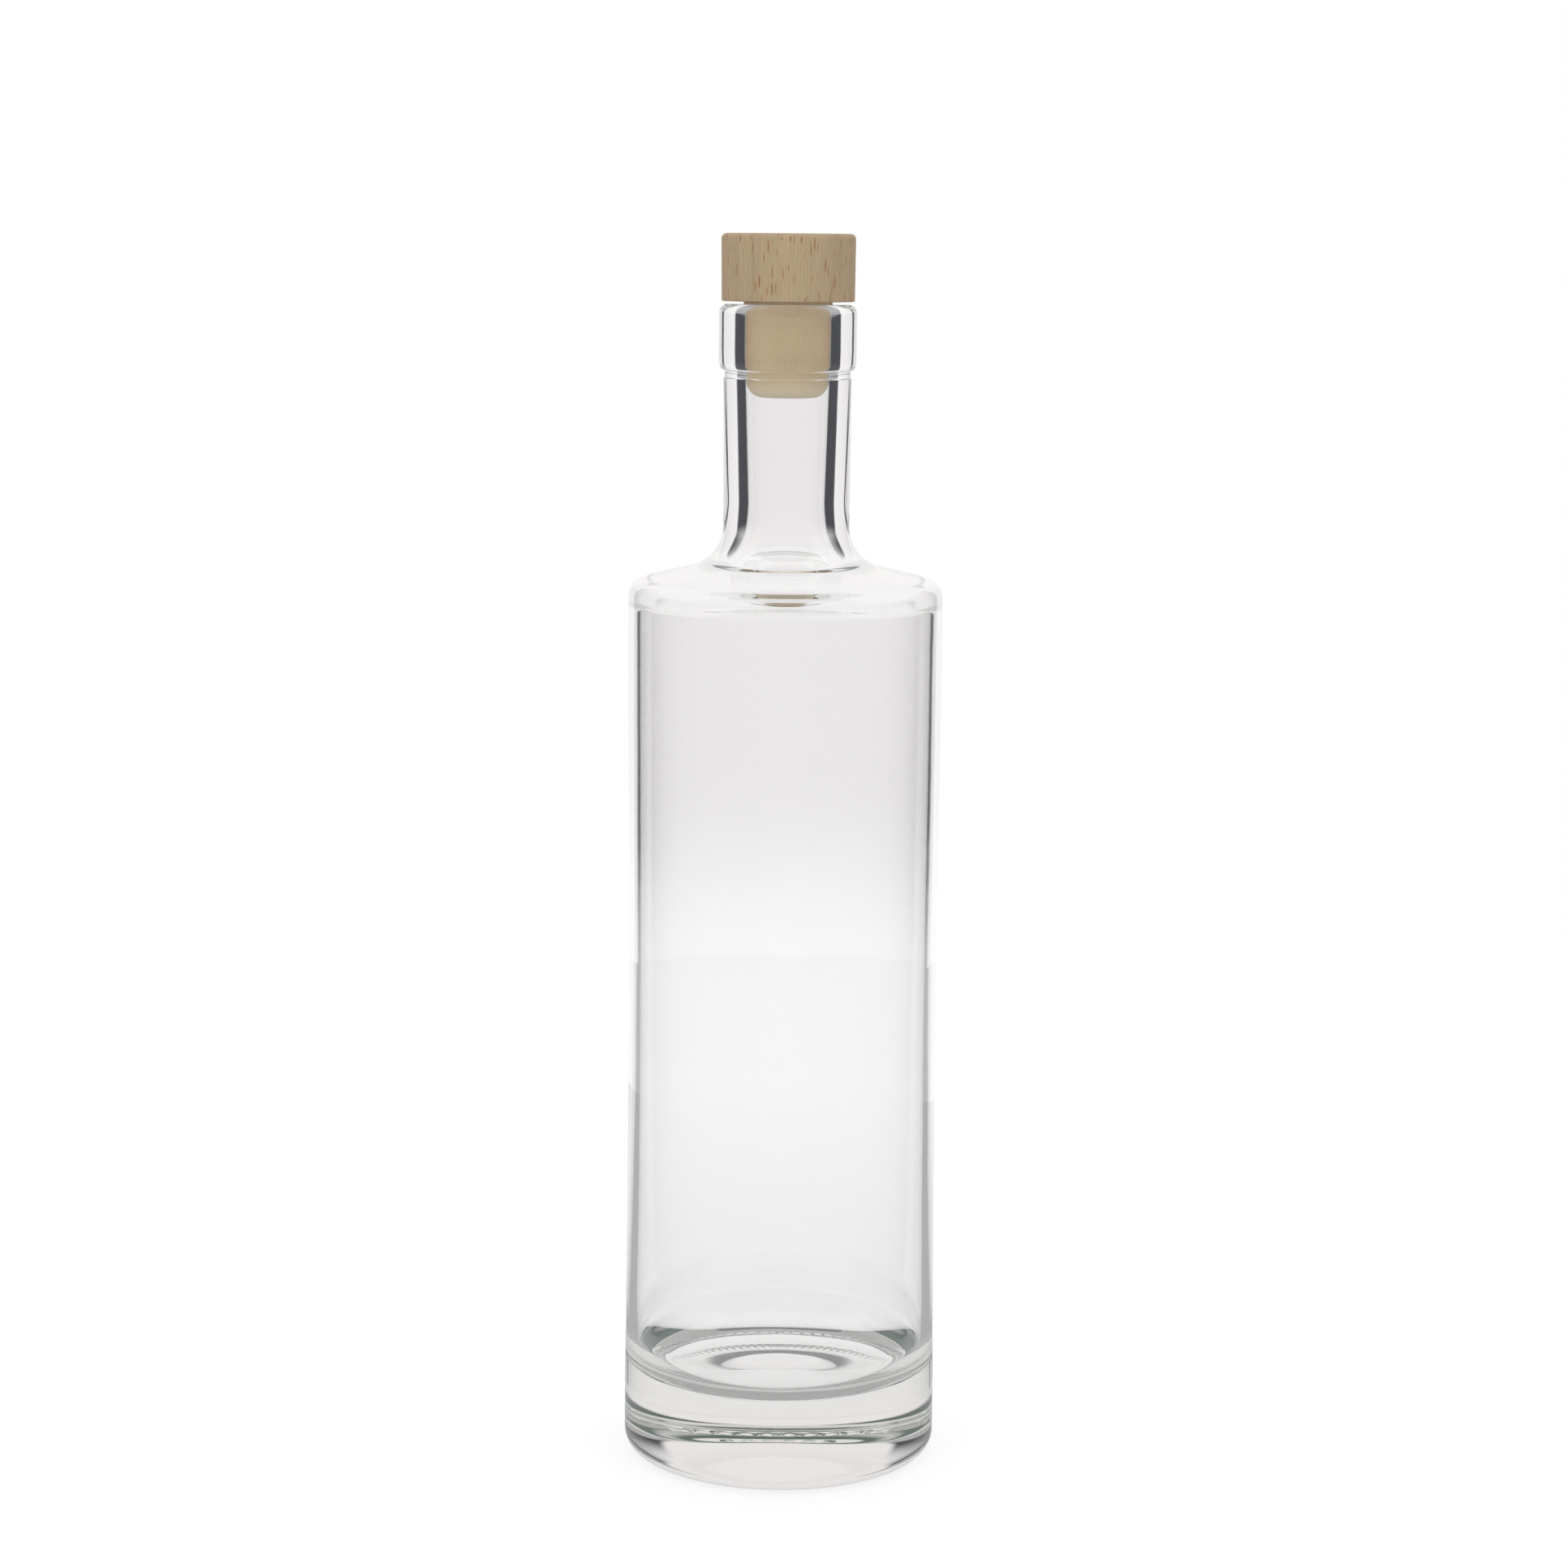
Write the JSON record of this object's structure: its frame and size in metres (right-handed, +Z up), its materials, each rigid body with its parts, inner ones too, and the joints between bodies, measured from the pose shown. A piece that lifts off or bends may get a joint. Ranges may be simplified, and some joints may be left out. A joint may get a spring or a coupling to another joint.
{
  "type": "glass spirit bottle with wooden-headed stopper",
  "caption": "Clear glass cylindrical spirit bottle with a thick base, low shoulder and bar-top collar, closed by a beech-headed stopper.",
  "frame": {"origin": "on the bottle's axis, at the flat surface that its bearing ring stands on", "axes": "+Z up along the bottle's axis towards the stopper; +Y points away from the picture's camera"},
  "size_m": [0.069, 0.069, 0.2691],
  "materials": {
    "clear_glass": "clear flint glass, fire-polished",
    "beech": "turned beech, bare and matt",
    "stem_polymer": "moulded cork-coloured polymer, satin"
  },
  "bodies": {
    "bottle": {"bottle": "clear_glass"},
    "stopper": {"stopper_head": "beech", "stopper_stem": "stem_polymer"}
  },
  "joints": [
    {"name": "stopper_pull", "type": "slide", "parent": "bottle", "child": "stopper", "axis": [0, 0, 1], "range_m": [0, 0.03]}
  ]
}
